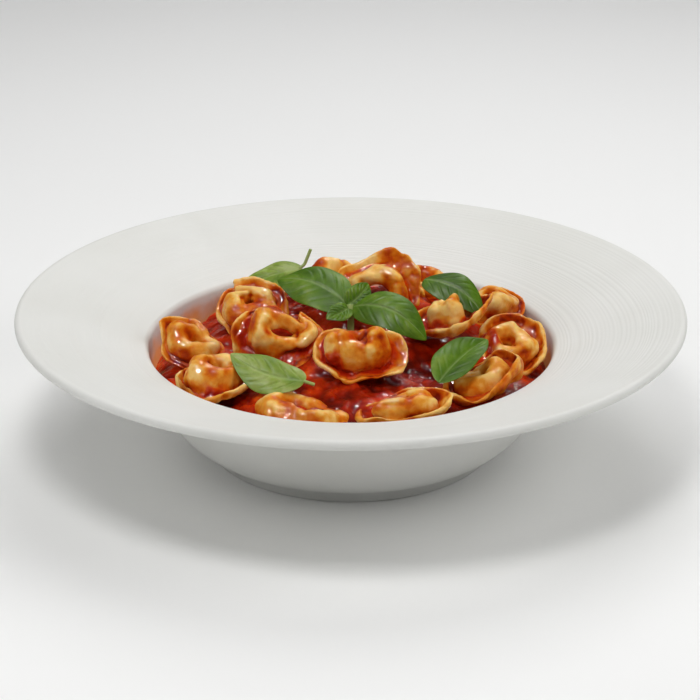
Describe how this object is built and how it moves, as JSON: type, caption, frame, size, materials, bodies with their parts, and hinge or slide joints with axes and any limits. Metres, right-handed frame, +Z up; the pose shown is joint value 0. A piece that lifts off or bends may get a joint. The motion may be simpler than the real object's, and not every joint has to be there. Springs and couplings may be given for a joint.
{
  "type": "plate of tortellini in tomato sauce",
  "caption": "Wide-rimmed deep plate of filled ring pasta heaped in chunky tomato sauce, with basil leaves and a basil sprig on top.",
  "frame": {"origin": "centre of the plate's foot, on the table", "axes": "+Z up; the pictured front of the dish faces -Y, and its right side is +X"},
  "size_m": [0.2792, 0.28, 0.0746],
  "materials": {
    "glaze": "soft satin white glaze with fine uneven rings on the rim",
    "pasta": "cooked egg dough, moist, stained orange by the sauce",
    "tomato_sauce": "wet and glossy, with soft tomato chunks",
    "basil": "fresh leaf, satin, paler below and along the veins"
  },
  "bodies": {
    "root": {"plate": "glaze", "tortellino_back_left": "pasta", "tortellino_far_back": "pasta", "tortellino_far_right": "pasta", "tortellino_left": "pasta", "tortellino_front": "pasta", "tortellino_front_left": "pasta", "tortellino_front_right": "pasta", "tortellino_right": "pasta", "tortellino_right_front": "pasta", "tortellino_back_right": "pasta", "tortellino_behind_peak": "pasta", "tortellino_back": "pasta", "tortellino_upper_left": "pasta", "tortellino_centre_right": "pasta", "tortellino_peak": "pasta", "tortellino_centre_left": "pasta", "tortellino_middle": "pasta", "basil_leaf_back": "basil", "basil_leaf_right": "basil", "basil_leaf_front_left": "basil", "basil_leaf_front_right": "basil", "basil_sprig": "basil", "tomato_sauce": "tomato_sauce"}
  },
  "joints": []
}
